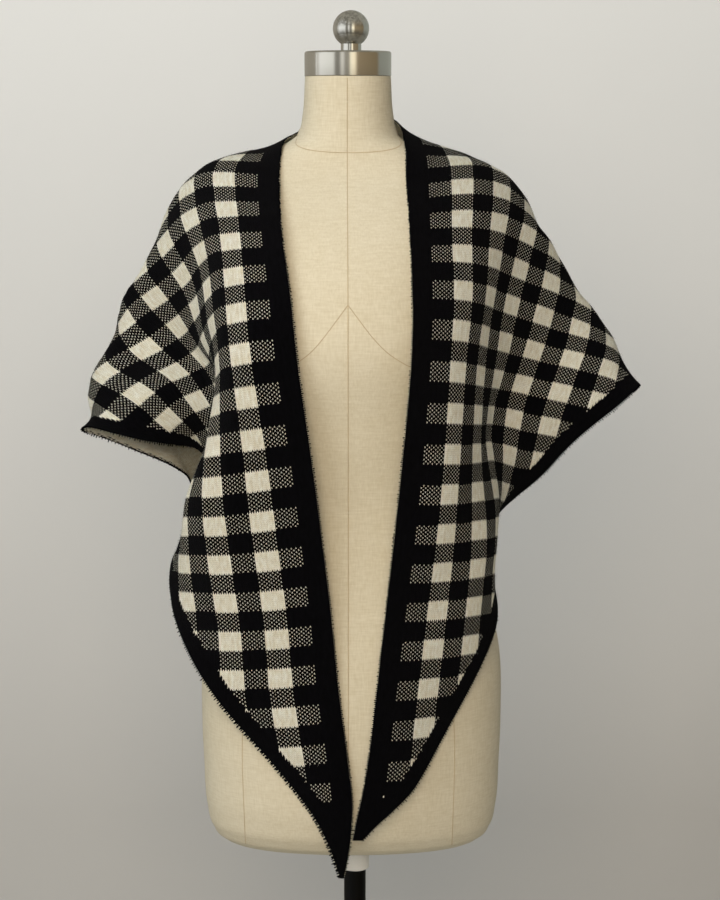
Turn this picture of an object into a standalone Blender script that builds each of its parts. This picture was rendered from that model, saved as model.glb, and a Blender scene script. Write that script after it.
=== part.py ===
"""A knit triangle shawl, worn over the shoulders of a limbless dress form on a round stand.

The shawl is knitted flat, as one wide triangle with a long straight edge and two short hem edges
that meet in a point. It lies round the neck with its point at the back, and its two ends hang down
the front. Here the flat triangle is the map: a place on the cloth is its distance along the long
edge from the section with the point, and its depth from that edge. Sections across the cloth, from
the long edge to the hem, give the worn shape, and each piece is a wall of even thickness on it.

Metres, Z up, front towards -Y. The origin is on the floor, under the middle of the form.
"""
import math

import bmesh
import bpy
import numpy as np

MM = 0.001
GAP = 0.3 * MM

# The shawl, as knitted
HALF_EDGE = 1031 * MM        # half the long straight edge
DEPTH = 623 * MM             # from the middle of the long edge to the point at the back
BLUNT_END = 997 * MM         # the tip on the wearer's left is cut off here
BLUNT_WIDTH = 10.5 * MM      # and is this wide there
BLUNT_SLOPE = 0.78           # how fast the cloth gets shallower towards that end
WALL = 2.4 * MM              # thickness of the double-faced knit
EDGE_BAND = 22.5 * MM        # plain band along the long edge, measured in depth
HEM_BAND = 21 * MM           # plain band along the hems, measured in depth
EASE = 3.1 * MM              # middle of the wall above the form where the cloth rests on it
SHOULDER_EASE = 8.5 * MM     # more of it where the knit bridges the edge of the shoulder
SHOULDER_HEIGHT = 1360 * MM
SHOULDER_SPREAD = 30 * MM

# The worn shape. Each row is one section across the cloth: its distance along the long edge from the
# point's own section, then the place of the cloth on the long edge and at a fifth, two, three and four
# fifths of the way to the hem, and on the hem, in millimetres. The wearer's right, at -X, comes first.
SECTION_SHARES = (0.0, 0.2, 0.4, 0.6, 0.8, 1.0)
SECTIONS = (
    # along  long edge            collar to chest      fold,
    #        side                 flap                 hem
    (-1020, (-10, -115, 601), (-11, -114, 600), (-12, -113, 599),
            (-13, -112, 598), (-14, -112, 597), (-15, -111, 596)),
    (-964, (1, -117, 667), (-6, -117, 666), (-14, -117, 665),
           (-21, -115, 664), (-28, -114, 663), (-35, -112, 662)),
    (-900, (-4, -119, 731), (-19, -120, 729), (-34, -120, 727),
           (-49, -118, 725), (-64, -113, 722), (-79, -108, 720)),
    (-800, (-15, -121, 831), (-44, -120, 828), (-72, -117, 825),
           (-101, -113, 822), (-129, -107, 820), (-166, -100, 818)),
    (-730, (-22, -124, 900), (-57, -123, 896), (-93, -121, 892),
           (-130, -114, 889), (-164, -98, 887), (-195, -80, 884)),
    (-660, (-30, -126, 969), (-74, -126, 964), (-119, -126, 959),
           (-165, -112, 956), (-194, -78, 953), (-199, -34, 948)),
    (-560, (-42, -138, 1069), (-97, -137, 1063), (-152, -133, 1055),
           (-178, -90, 1045), (-164, -42, 1020), (-166, 10, 1004)),
    (-480, (-53, -141, 1152), (-118, -143, 1143), (-152, -105, 1126),
           (-135, -47, 1101), (-152, -4, 1084), (-178, 18, 1074)),
    (-420, (-61, -141, 1214), (-131, -132, 1206), (-147, -71, 1174),
           (-154, -5, 1149), (-201, -16, 1128), (-242, -18, 1081)),
    (-370, (-66, -131, 1262), (-139, -110, 1250), (-171, -44, 1213),
           (-194, 21, 1180), (-250, 2, 1144), (-312, -2, 1099)),
    (-345, (-69, -124, 1278), (-143, -98, 1267), (-176, -30, 1233),
           (-216, 30, 1192), (-303, 27, 1146), (-309, 18, 1089)),
    (-320, (-73, -116, 1297), (-147, -84, 1289), (-178, -14, 1249),
           (-240, 38, 1206), (-305, 46, 1149), (-246, 34, 1059)),
    (-270, (-76, -102, 1332), (-158, -60, 1327), (-211, -1, 1281),
           (-268, 60, 1222), (-243, 74, 1124), (-178, 49, 1026)),
    (-240, (-77, -84, 1352), (-166, -38, 1348), (-223, 14, 1293),
           (-246, 66, 1216), (-224, 88, 1114), (-176, 76, 1009)),
    (-200, (-77, -60, 1373), (-177, -9, 1375), (-221, 46, 1303),
           (-200, 74, 1196), (-188, 96, 1096), (-170, 98, 992)),
    (-140, (-75, -22, 1406), (-154, 36, 1396), (-166, 80, 1288),
           (-148, 92, 1180), (-136, 102, 1070), (-126, 104, 958)),
    (-80, (-66, 30, 1421), (-94, 82, 1343), (-84, 103, 1219),
          (-74, 108, 1104), (-69, 112, 989), (-66, 116, 874)),
    (-20, (-26, 72, 1433), (-25, 103, 1322), (-21, 113, 1200),
          (-16, 114, 1079), (-11, 116, 956), (-7, 118, 834)),
    (40, (24, 70, 1440), (34, 103, 1331), (38, 113, 1213),
         (44, 118, 1094), (50, 119, 975), (55, 117, 855)),
    (100, (54, 32, 1435), (92, 78, 1357), (98, 101, 1246),
          (101, 112, 1134), (106, 117, 1022), (112, 113, 911)),
    (160, (58, -24, 1418), (146, 24, 1396), (172, 70, 1302),
          (162, 86, 1192), (163, 99, 1086), (168, 101, 980)),
    (195, (58, -46, 1387), (157, -3, 1391), (215, 48, 1326),
          (192, 78, 1216), (188, 94, 1114), (195, 97, 1012)),
    (230, (61, -66, 1366), (155, -28, 1374), (211, 20, 1316),
          (206, 62, 1224), (217, 87, 1128), (229, 98, 1036)),
    (280, (65, -96, 1335), (146, -58, 1335), (204, 0, 1314),
          (241, 57, 1248), (261, 83, 1163), (264, 104, 1082)),
    (330, (66, -117, 1299), (139, -80, 1297), (191, -20, 1277),
          (252, 28, 1248), (288, 54, 1189), (299, 87, 1123)),
    (380, (67, -132, 1264), (136, -98, 1254), (172, -33, 1236),
          (232, 9, 1211), (294, 19, 1186), (317, 42, 1144)),
    (440, (68, -147, 1203), (124, -114, 1195), (156, -57, 1180),
          (200, -7, 1167), (257, -13, 1154), (316, -6, 1142)),
    (520, (62, -153, 1122), (113, -131, 1117), (142, -86, 1110),
          (163, -34, 1104), (202, -17, 1095), (253, -9, 1086)),
    (580, (56, -152, 1063), (104, -136, 1059), (136, -98, 1056),
          (158, -54, 1053), (176, -30, 1047), (211, -2, 1037)),
    (620, (52, -150, 1024), (97, -140, 1020), (131, -108, 1018),
          (159, -73, 1016), (170, -31, 1011), (170, 12, 996)),
    (760, (37, -146, 888), (67, -137, 887), (96, -125, 886),
          (123, -110, 886), (145, -91, 885), (161, -71, 884)),
    (890, (21, -146, 758), (37, -142, 758), (53, -135, 757),
          (69, -127, 756), (85, -118, 756), (100, -108, 755)),
    (940, (12, -144, 703), (26, -142, 705), (37, -139, 704),
          (48, -136, 704), (59, -132, 703), (69, -128, 702)),
    (997, (2, -142, 656), (4, -142, 656), (6, -142, 655),
          (8, -141, 655), (10, -141, 654), (12, -140, 654)),
)
CORNER_REACH = 500 * MM      # how far the point at the back bends the sections either side of it

# The pieces of the shawl, as stretches of the long edge to each side of its middle
SHOULDER_FROM = 180 * MM
SHOULDER_TO = 500 * MM
RIGHT_PANEL_TO = 956 * MM    # the bands have the last of each tip to themselves
LEFT_PANEL_TO = 950 * MM
RIGHT_TIP = HALF_EDGE - 8 * MM
LEFT_TIP = BLUNT_END - 1 * MM
SHOULDER_CELLS = 14          # cells along each stretch of the long edge
BACK_CELLS = 9
PANEL_CELLS = 14
TIP_CELLS = 3
CELLS_ACROSS = 18

# The dress form: each row is one level of its body
FORM_POWER = 2.2             # 2 is an ellipse, and more is squarer
FORM_SIDES = 40
FORM_LEVELS = (
    # height, half width, middle in x, front, back
    (604, 78, 0, -30, 40),
    (607, 128, 0, -56, 70),
    (614, 150, 0, -76, 90),
    (628, 162, 0, -93, 106),
    (652, 168, 0, -104, 116),
    (700, 171, 0, -112, 121),
    (760, 173, 0, -116, 126),
    (840, 170, 0, -113, 126),
    (930, 146, 0, -101, 112),
    (1020, 123, 0, -92, 96),
    (1100, 131, 0, -108, 95),
    (1200, 148, 0, -134, 101),
    (1270, 158, 0, -122, 109),
    (1320, 174, 0, -98, 104),
    (1355, 177, 0, -74, 92),
    (1380, 156, 0, -56, 78),
    (1400, 102, -1, -49, 72),
    (1412, 76, -2.5, -48, 68),
    (1420, 60, -3.5, -47, 65),
    (1430, 54, -3.5, -46, 62),
    (1445, 51, -3.5, -45, 59),
    (1488, 48, -3.5, -45, 52),
)
CAP_X = -3.5 * MM            # the neck stands a little to the wearer's right
CAP_Y = 3.5 * MM             # and leans back a little from the stand's axis
CAP_RADIUS = 48.5 * MM
CAP_HEIGHT = 27.5 * MM
CAP_ROUND = 3 * MM
BALL_RADIUS = 20.3 * MM
BALL_NECK_RADIUS = 11.5 * MM
BALL_NECK_HEIGHT = 8 * MM

# The stand
STAND_X = 4 * MM             # the pole stands a little to the wearer's left of the form's middle
POLE_RADIUS = 12.7 * MM
COLLAR_RADIUS = 16.5 * MM
COLLAR_HEIGHT = 31.5 * MM
COLLAR_ROUND = 3.5 * MM      # on its lower edge
BASE_RADIUS = 180 * MM
BASE_HEIGHT = 12 * MM
BASE_ROUND = 5 * MM
SOCKET_RADIUS = 24 * MM
SOCKET_HEIGHT = 45 * MM
TURNED_SIDES = 32


def start_empty(name):
    """Clears the scene and makes the collection that the parts go in."""
    for found in list(bpy.data.objects):
        bpy.data.objects.remove(found, do_unlink=True)
    parts = bpy.data.collections.new(name)
    bpy.context.scene.collection.children.link(parts)
    return parts


def material(name, colour, roughness, metallic=0.0):
    made = bpy.data.materials.new(name)
    made.use_nodes = True
    shader = made.node_tree.nodes["Principled BSDF"]
    shader.inputs["Base Color"].default_value = (*colour, 1.0)
    shader.inputs["Roughness"].default_value = roughness
    shader.inputs["Metallic"].default_value = metallic
    return made


def add_part(parts, name, mesh, finish, smooth=True):
    part = bpy.data.objects.new(name, mesh)
    parts.objects.link(part)
    mesh.materials.append(finish)
    if smooth:
        mesh.shade_smooth()
        mesh.set_sharp_from_angle(angle=math.radians(40))
    return part


# --- Turned pieces ---

def turned(parts, name, profile, finish, x=0.0, y=0.0):
    """A profile of (radius, height) that runs down its outer side, turned about a vertical axis."""
    mesh = bpy.data.meshes.new(name)
    points = [(radius, 0.0, height) for radius, height in profile]
    edges = [(i, i + 1) for i in range(len(points) - 1)]
    mesh.from_pydata(points, edges, [])
    part = bpy.data.objects.new(name, mesh)
    parts.objects.link(part)
    part.location.x = x
    part.location.y = y
    mesh.materials.append(finish)
    screw = part.modifiers.new("Turn", "SCREW")
    screw.steps = TURNED_SIDES
    screw.render_steps = TURNED_SIDES
    screw.use_merge_vertices = True
    screw.merge_threshold = 0.00005
    screw.use_smooth_shade = True
    return part


def arc(centre, radius, start, end, steps):
    """Points on an arc in (radius, height), with its angles in degrees from the outward direction."""
    points = []
    for i in range(steps + 1):
        angle = math.radians(start + (end - start) * i / steps)
        points.append((centre[0] + radius * math.cos(angle), centre[1] + radius * math.sin(angle)))
    return points


def rounded_disc(radius, bottom, top, rounding, steps):
    """The profile of a disc whose upper edge is rounded."""
    corner = arc((radius - rounding, top - rounding), rounding, 90, 0, steps)
    return [(0.0, top), *corner, (radius, bottom), (0.0, bottom)]


# --- The dress form ---

def form_section(height):
    """Half width, middle in x, middle in y and half depth of the form at each height."""
    levels = np.array(FORM_LEVELS) * MM
    half_width, aside, front, back = (np.interp(height, levels[:, 0], levels[:, k]) for k in (1, 2, 3, 4))
    return half_width, aside, (back + front) / 2, (back - front) / 2


def form_level(points):
    """1 on the form's surface, less inside it and more outside."""
    half_width, aside, middle, half_depth = form_section(points[:, 2])
    across = np.abs((points[:, 0] - aside) / half_width) ** FORM_POWER
    through = np.abs((points[:, 1] - middle) / half_depth) ** FORM_POWER
    return (across + through) ** (1 / FORM_POWER)


def lift_off_form(points):
    """Moves every point that is nearer to the form than its ease straight out to it."""
    lifted = points.copy()
    step = 0.1 * MM
    for _ in range(4):
        from_shoulder = (lifted[:, 2] - SHOULDER_HEIGHT) / SHOULDER_SPREAD
        clearance = EASE + SHOULDER_EASE * np.exp(-from_shoulder ** 2)
        level = form_level(lifted)
        slope = np.stack([(form_level(lifted + step * axis) - level) / step for axis in np.eye(3)], axis=1)
        steepness = np.linalg.norm(slope, axis=1)
        short = np.clip(clearance - (level - 1) / steepness, 0, 20 * MM)
        lifted += slope * (short / steepness)[:, None]
    return lifted


def make_torso(parts, finish):
    """The form's body, lofted through its levels from the flat underside to the flat neck."""
    mesh = bmesh.new()
    rings = []
    for row in FORM_LEVELS:
        height = row[0] * MM
        half_width, aside, middle, half_depth = form_section(height)
        ring = []
        for i in range(FORM_SIDES):
            angle = 2 * math.pi * i / FORM_SIDES
            cosine = math.cos(angle)
            sine = math.sin(angle)
            x = aside + half_width * math.copysign(abs(cosine) ** (2 / FORM_POWER), cosine)
            y = middle + half_depth * math.copysign(abs(sine) ** (2 / FORM_POWER), sine)
            ring.append(mesh.verts.new((x, y, height)))
        rings.append(ring)
    for lower, upper in zip(rings, rings[1:]):
        for i in range(FORM_SIDES):
            j = (i + 1) % FORM_SIDES
            mesh.faces.new((lower[i], lower[j], upper[j], upper[i]))
    mesh.faces.new(rings[0][::-1])
    mesh.faces.new(rings[-1])
    data = bpy.data.meshes.new("form_torso")
    mesh.to_mesh(data)
    mesh.free()
    return add_part(parts, "form_torso", data, finish)


def make_form(parts):
    linen = material("form linen", (0.72, 0.64, 0.50), 0.85)
    steel = material("brushed steel", (0.62, 0.61, 0.59), 0.28, 1.0)
    make_torso(parts, linen)
    cap_bottom = FORM_LEVELS[-1][0] * MM + GAP
    cap_top = cap_bottom + CAP_HEIGHT
    cap = rounded_disc(CAP_RADIUS, cap_bottom, cap_top, CAP_ROUND, 4)
    turned(parts, "form_neck_cap", cap, steel, CAP_X, CAP_Y)
    neck_bottom = cap_top + GAP
    neck_angle = math.degrees(math.acos(BALL_NECK_RADIUS / BALL_RADIUS))
    ball_centre = neck_bottom + BALL_NECK_HEIGHT + BALL_RADIUS * math.sin(math.radians(neck_angle))
    ball = arc((0.0, ball_centre), BALL_RADIUS, 90, -neck_angle, 11)
    turned(parts, "form_finial", [*ball, (BALL_NECK_RADIUS, neck_bottom), (0.0, neck_bottom)], steel, y=CAP_Y)


def make_stand(parts):
    black = material("black painted steel", (0.02, 0.02, 0.02), 0.35, 0.0)
    white = material("white plastic", (0.75, 0.74, 0.70), 0.4)
    collar_top = FORM_LEVELS[0][0] * MM - GAP
    collar_bottom = collar_top - COLLAR_HEIGHT
    corner = arc((COLLAR_RADIUS - COLLAR_ROUND, collar_bottom + COLLAR_ROUND), COLLAR_ROUND, 0, -90, 4)
    collar = [(0.0, collar_top), (COLLAR_RADIUS, collar_top), *corner, (0.0, collar_bottom)]
    turned(parts, "stand_collar", collar, white, STAND_X)
    pole_top = collar_bottom - GAP
    pole_bottom = BASE_HEIGHT + GAP
    turned(parts, "stand_pole", rounded_disc(POLE_RADIUS, pole_bottom, pole_top, 0.5 * MM, 1), black, STAND_X)
    turned(parts, "stand_base", rounded_disc(BASE_RADIUS, 0.0, BASE_HEIGHT, BASE_ROUND, 4), black, STAND_X)
    bore = POLE_RADIUS + GAP
    socket_top = pole_bottom + SOCKET_HEIGHT
    corner = arc((SOCKET_RADIUS - 3 * MM, socket_top - 3 * MM), 3 * MM, 90, 0, 3)
    ring = [(bore, socket_top), *corner, (SOCKET_RADIUS, pole_bottom), (bore, pole_bottom), (bore, socket_top)]
    turned(parts, "stand_socket", ring, black, STAND_X)


# --- The worn cloth ---

def spline(knots, values, at):
    """The smooth curve through values, which stand at knots, read at each place in at."""
    span = np.diff(knots)
    chord = np.diff(values, axis=0) / span[:, None]
    blend = (span[1:] / (span[1:] + span[:-1]))[:, None]
    tangent = np.vstack([chord[:1], blend * chord[:-1] + (1 - blend) * chord[1:], chord[-1:]])
    k = np.clip(np.searchsorted(knots, at, side="right") - 1, 0, len(span) - 1)
    width = span[k][:, None]
    f = ((at - knots[k])[:, None]) / width
    start = (1 + 2 * f) * (1 - f) ** 2 * values[k] + f * (1 - f) ** 2 * width * tangent[k]
    end = f * f * (3 - 2 * f) * values[k + 1] - f * f * (1 - f) * width * tangent[k + 1]
    return start + end


def hem_depth(along):
    """Depth of the triangle from its long edge to its hem."""
    to_blunt_end = BLUNT_WIDTH + (BLUNT_END - along) * BLUNT_SLOPE
    return np.minimum((HALF_EDGE - abs(along)) * DEPTH / HALF_EDGE, to_blunt_end)


def corner_rise(along, share):
    """How far a section climbs because the hem climbs away from the point at the back."""
    fade = np.clip(1 - np.abs(along) / CORNER_REACH, 0, 1) ** 2
    return DEPTH / HALF_EDGE * share * np.abs(along) * fade


def cloth_surface(along, depth):
    """The middle of the wall at places on the flat cloth, clear of the form."""
    share = np.clip(depth / np.maximum(hem_depth(along), 1e-6), 0, 1)
    knots = np.array([row[0] for row in SECTIONS]) * MM
    columns = []
    for k, column_share in enumerate(SECTION_SHARES):
        places = np.array([row[1 + k] for row in SECTIONS]) * MM
        places[:, 2] -= corner_rise(knots, column_share)
        columns.append(spline(knots, places, along))
    points = np.empty((len(along), 3))
    shares = np.array(SECTION_SHARES)
    columns = np.array(columns)
    for i in range(len(along)):
        points[i] = spline(shares, columns[:, i], share[i:i + 1])[0]
    points[:, 2] += corner_rise(along, share)
    return lift_off_form(points)


def cloth_normal(along, depth):
    """The outward direction of the worn cloth at places on the flat cloth."""
    step = 2 * MM
    inside = np.sign(-along + 1e-9) * step
    across = (cloth_surface(along + inside, depth) - cloth_surface(along, depth)) / inside[:, None]
    low = np.maximum(depth - step, 0)
    high = np.minimum(depth + step, hem_depth(along))
    down = cloth_surface(along, high) - cloth_surface(along, low)
    normal = np.cross(across, down)
    return normal / np.linalg.norm(normal, axis=1)[:, None]


def wall(parts, name, stations, near, far, cells_across, finish):
    """A piece of the cloth between two lines across its stations: near and far give their depths."""
    rows = len(stations)
    share = np.arange(cells_across + 1) / cells_across
    along = np.repeat(stations, cells_across + 1)
    top = np.array([near(s) for s in stations])
    bottom = np.array([far(s) for s in stations])
    depth = (top[:, None] + (bottom - top)[:, None] * share).ravel()
    middle = cloth_surface(along, depth)
    offset = cloth_normal(along, depth) * WALL / 2
    mesh = bmesh.new()
    outer = [mesh.verts.new(p) for p in middle + offset]
    inner = [mesh.verts.new(p) for p in middle - offset]
    width = cells_across + 1
    for r in range(rows - 1):
        for c in range(cells_across):
            a = r * width + c
            for three in ((a, a + width, a + width + 1), (a, a + width + 1, a + 1)):
                mesh.faces.new([outer[i] for i in three])
                mesh.faces.new([inner[i] for i in reversed(three)])
    along_near = [(r * width, (r + 1) * width, True) for r in range(rows - 1)]
    along_far = [(i + cells_across, j + cells_across, False) for i, j, _ in along_near]
    first = [(c, c + 1, False) for c in range(cells_across)]
    last = [(i + (rows - 1) * width, j + (rows - 1) * width, True) for i, j, _ in first]
    for i, j, turned_round in (*along_near, *along_far, *first, *last):
        # Both sides of a seam split their rims from the same corner, so that they stay parallel.
        for three in ((outer[i], outer[j], inner[j]), (outer[i], inner[j], inner[i])):
            mesh.faces.new(three[::-1] if turned_round else three)
    data = bpy.data.meshes.new(name)
    mesh.to_mesh(data)
    mesh.free()
    return add_part(parts, name, data, finish)


def edge_band_depth(along):
    """The two bands keep their depths until the triangle is too shallow for both, and then share it."""
    return min(EDGE_BAND, hem_depth(along) * EDGE_BAND / (EDGE_BAND + HEM_BAND))


def hem_band_depth(along):
    return min(HEM_BAND, hem_depth(along) * HEM_BAND / (EDGE_BAND + HEM_BAND))


def edge_band_end(along):
    return edge_band_depth(along) - GAP / 2


def panel_start(along):
    return edge_band_depth(along) + GAP / 2


def panel_end(along):
    return hem_depth(along) - hem_band_depth(along) - GAP / 2


def hem_band_start(along):
    return hem_depth(along) - hem_band_depth(along) + GAP / 2


def stations_between(start, end):
    """The stations of one piece, taken from those of the whole cloth, so that seams match."""
    stops = (-RIGHT_TIP, -RIGHT_PANEL_TO, -SHOULDER_TO, -SHOULDER_FROM, 0.0, SHOULDER_FROM, SHOULDER_TO,
             LEFT_PANEL_TO, LEFT_TIP)
    half = (BACK_CELLS, SHOULDER_CELLS, PANEL_CELLS, TIP_CELLS)
    whole = [stops[0]]
    for stop, cells in zip(stops[1:], (*half[::-1], *half)):
        whole += list(np.linspace(whole[-1], stop, cells + 1)[1:])
    chosen = np.array([s for s in whole if start - GAP < s < end + GAP])
    chosen[0] += GAP / 2
    chosen[-1] -= GAP / 2
    return chosen


def make_shawl(parts):
    check = material("checked knit", (0.30, 0.28, 0.25), 0.95)
    plain = material("plain black knit", (0.012, 0.012, 0.014), 0.95)
    panels = (
        ("panel_back", -SHOULDER_FROM, SHOULDER_FROM),
        ("panel_shoulder_left", SHOULDER_FROM, SHOULDER_TO),
        ("panel_shoulder_right", -SHOULDER_TO, -SHOULDER_FROM),
        ("panel_front_left", SHOULDER_TO, LEFT_PANEL_TO),
        ("panel_front_right", -RIGHT_PANEL_TO, -SHOULDER_TO),
    )
    for name, start, end in panels:
        wall(parts, name, stations_between(start, end), panel_start, panel_end, CELLS_ACROSS, check)
    bands = (
        ("edge_band_neck", -SHOULDER_FROM, SHOULDER_FROM),
        ("edge_band_left", SHOULDER_FROM, LEFT_TIP),
        ("edge_band_right", -RIGHT_TIP, -SHOULDER_FROM),
    )
    for name, start, end in bands:
        wall(parts, name, stations_between(start, end), lambda s: 0.0, edge_band_end, 1, plain)
    for name, start, end in (("hem_band_left", 0.0, LEFT_TIP), ("hem_band_right", -RIGHT_TIP, 0.0)):
        wall(parts, name, stations_between(start, end), hem_band_start, hem_depth, 1, plain)


def main():
    parts = start_empty("knit_triangle_shawl")
    make_form(parts)
    make_stand(parts)
    make_shawl(parts)


main()
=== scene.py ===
# %% [markdown]
# # A knit triangle shawl on a dress form
# The shawl is one wide knitted triangle, worn open over the shoulders of a dress form. Its flat shape
# is the map for everything below: a place on the cloth is its distance along the long edge and its
# depth from that edge. The drape starts from sections across the worn cloth and is then relaxed until
# the knit keeps its knitted size. The pattern is drawn stitch by stitch on the flat map, so it bends
# with the cloth.

# %% Setup
import functools
import math

import bmesh
import bpy
import numpy as np
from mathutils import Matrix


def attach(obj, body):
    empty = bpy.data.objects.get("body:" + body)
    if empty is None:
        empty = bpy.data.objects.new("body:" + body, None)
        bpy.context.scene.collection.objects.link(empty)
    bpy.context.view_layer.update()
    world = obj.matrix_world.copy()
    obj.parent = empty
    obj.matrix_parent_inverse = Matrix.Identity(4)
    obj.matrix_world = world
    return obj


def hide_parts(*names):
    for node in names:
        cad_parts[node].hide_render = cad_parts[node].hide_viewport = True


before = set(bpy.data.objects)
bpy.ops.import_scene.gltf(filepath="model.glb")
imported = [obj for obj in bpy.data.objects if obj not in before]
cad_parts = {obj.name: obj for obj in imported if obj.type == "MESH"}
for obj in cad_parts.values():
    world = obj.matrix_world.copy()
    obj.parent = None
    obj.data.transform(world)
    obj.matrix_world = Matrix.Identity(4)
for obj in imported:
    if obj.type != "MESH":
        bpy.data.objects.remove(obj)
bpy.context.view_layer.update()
MM = 0.001
rng = np.random.default_rng(7)

# %% [markdown]
# ## Sizes
# The flat shawl is 2.03 m along its long edge and 0.62 m deep. The wearer's left tip is cut blunt.
# One check block is 26 mm deep and 22.5 mm along the edge, which is 10 by 10 stitches, so all sizes in
# the knit follow from the size of a stitch. Along the edge, 0 is the middle of the neck and plus is
# the wearer's left.

# %% The flat shawl
HALF_EDGE = 1.031            # to where the long edge and the hems would meet
DEPTH = 0.623
SLOPE = DEPTH / HALF_EDGE
BLUNT_END = 0.997            # where the wearer's left end is cut off,
BLUNT_WIDTH = 10.5 * MM      # this wide,
BLUNT_SLOPE = 0.78           # with a steeper hem up to the straight one
RIGHT_END = HALF_EDGE - 6 * MM
WALL = 2.2 * MM              # the knit's thickness
EDGE_BAND = 22.5 * MM
HEM_BAND = 21 * MM
WALE = 2.6 * MM              # one column of stitches, measured in depth
COURSE = 2.25 * MM           # one row of stitches, measured along the edge
CHECK_START = 186.25 * MM    # a block boundary along the long edge


def hem_depth(along):
    """Depth of the flat shawl from its long edge to its hem."""
    to_blunt_end = BLUNT_WIDTH + (BLUNT_END - along) * BLUNT_SLOPE
    return np.minimum((HALF_EDGE - np.abs(along)) * SLOPE, to_blunt_end)


# %% [markdown]
# ## Materials
# Each material is built from nodes, and one small function adds a node with its settings and links.
# Colours are given as they look on screen and turned into linear light. The scale of a noise is the
# number of its spots to a metre, so 0.9 / MM is 0.9 spots to a millimetre.

# %% Node helpers
MIX_COLOURS = {"data_type": "RGBA", "output": 2}     # a Mix node of colours takes inputs 0, 6 and 7


def linear(hex_colour):
    """An sRGB colour such as "c8bea5" as linear RGBA."""
    parts = [int(hex_colour[i:i + 2], 16) / 255 for i in (0, 2, 4)]
    return (*[p / 12.92 if p <= 0.04045 else ((p + 0.055) / 1.055) ** 2.4 for p in parts], 1.0)


def fill(node, inputs):
    """Fills inputs of a node. Each value is a number, a colour or another node's output."""
    for key, value in inputs.items():
        if isinstance(value, bpy.types.NodeSocket):
            node.id_data.links.new(value, node.inputs[key])
        else:
            node.inputs[key].default_value = value


def add_node(tree, kind, *values, output=0, **settings):
    """Adds a node and gives one of its outputs.

    A kind in capitals is an operation of the Math node. The values fill the inputs in their order,
    or are a dictionary with the names or numbers of the inputs.
    """
    if kind.isupper():
        settings["operation"] = kind
        kind = "Math"
    node = tree.nodes.new("ShaderNode" + kind)
    for key, value in settings.items():
        setattr(node, key, value)
    fill(node, values[0] if values and isinstance(values[0], dict) else dict(enumerate(values)))
    return node.outputs[output]


def new_material(name):
    """A material, the function that adds nodes to it, and its surface."""
    made = bpy.data.materials.new(name)
    made.use_nodes = True
    tree = made.node_tree
    return made, functools.partial(add_node, tree), tree.nodes["Principled BSDF"]


print("a mid grey on screen is", round(linear("808080")[0], 3), "in linear light")

# %% [markdown]
# ## The knit
# The shawl is knitted from two wool yarns. An image of the check could be laid on it, but it would
# have to be very large before a stitch was sharp. Here the pattern is worked out from the flat
# shawl's own millimetres, so each stitch is drawn where it was knitted and bends with the cloth.
#
# Stitches run in columns that are parallel to the long edge. Each one is a V, so its middle lies a
# course or so behind its two ends.

# %% Places in a stitch
V_LEAN = 1.3                 # how many courses the middle of a V lies behind its ends


def stitch_at(node):
    """Where a place is on the flat cloth, the numbers of its stitch, and how far it is through it."""
    flat_place = node("UVMap", uv_map="flat")
    along, depth = (node("SeparateXYZ", flat_place, output=k) for k in (0, 1))
    wale = node("DIVIDE", node("SUBTRACT", depth, EDGE_BAND), WALE)
    across = node("FRACT", wale)
    lean = node("ABSOLUTE", node("SUBTRACT", node("MULTIPLY", across, 2.0), 1.0))
    straight = node("DIVIDE", node("SUBTRACT", along, CHECK_START), COURSE)
    course = node("ADD", straight, node("MULTIPLY", lean, V_LEAN))
    return (along, depth), (node("FLOOR", wale), node("FLOOR", course)), (across, node("FRACT", course))


# %% [markdown]
# A stitch takes one yarn: black or cream. Stripes of both colours cross, ten stitches wide. Where two
# cream stripes cross the block is cream, and where a cream and a black one cross the yarns take
# turns, which makes the grey birdseye. The bands along the edges are plain black. The reverse is
# cream almost to the edge, with black stitches dotted beside it.

# %% Which stitches are cream
BLOCK = 10.0                 # stitches across a block, both ways
REVERSE_DOTS = 0.5 * MM      # the reverse is dotted from here inwards
REVERSE_CREAM = 4.5 * MM     # and all cream from here


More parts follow.
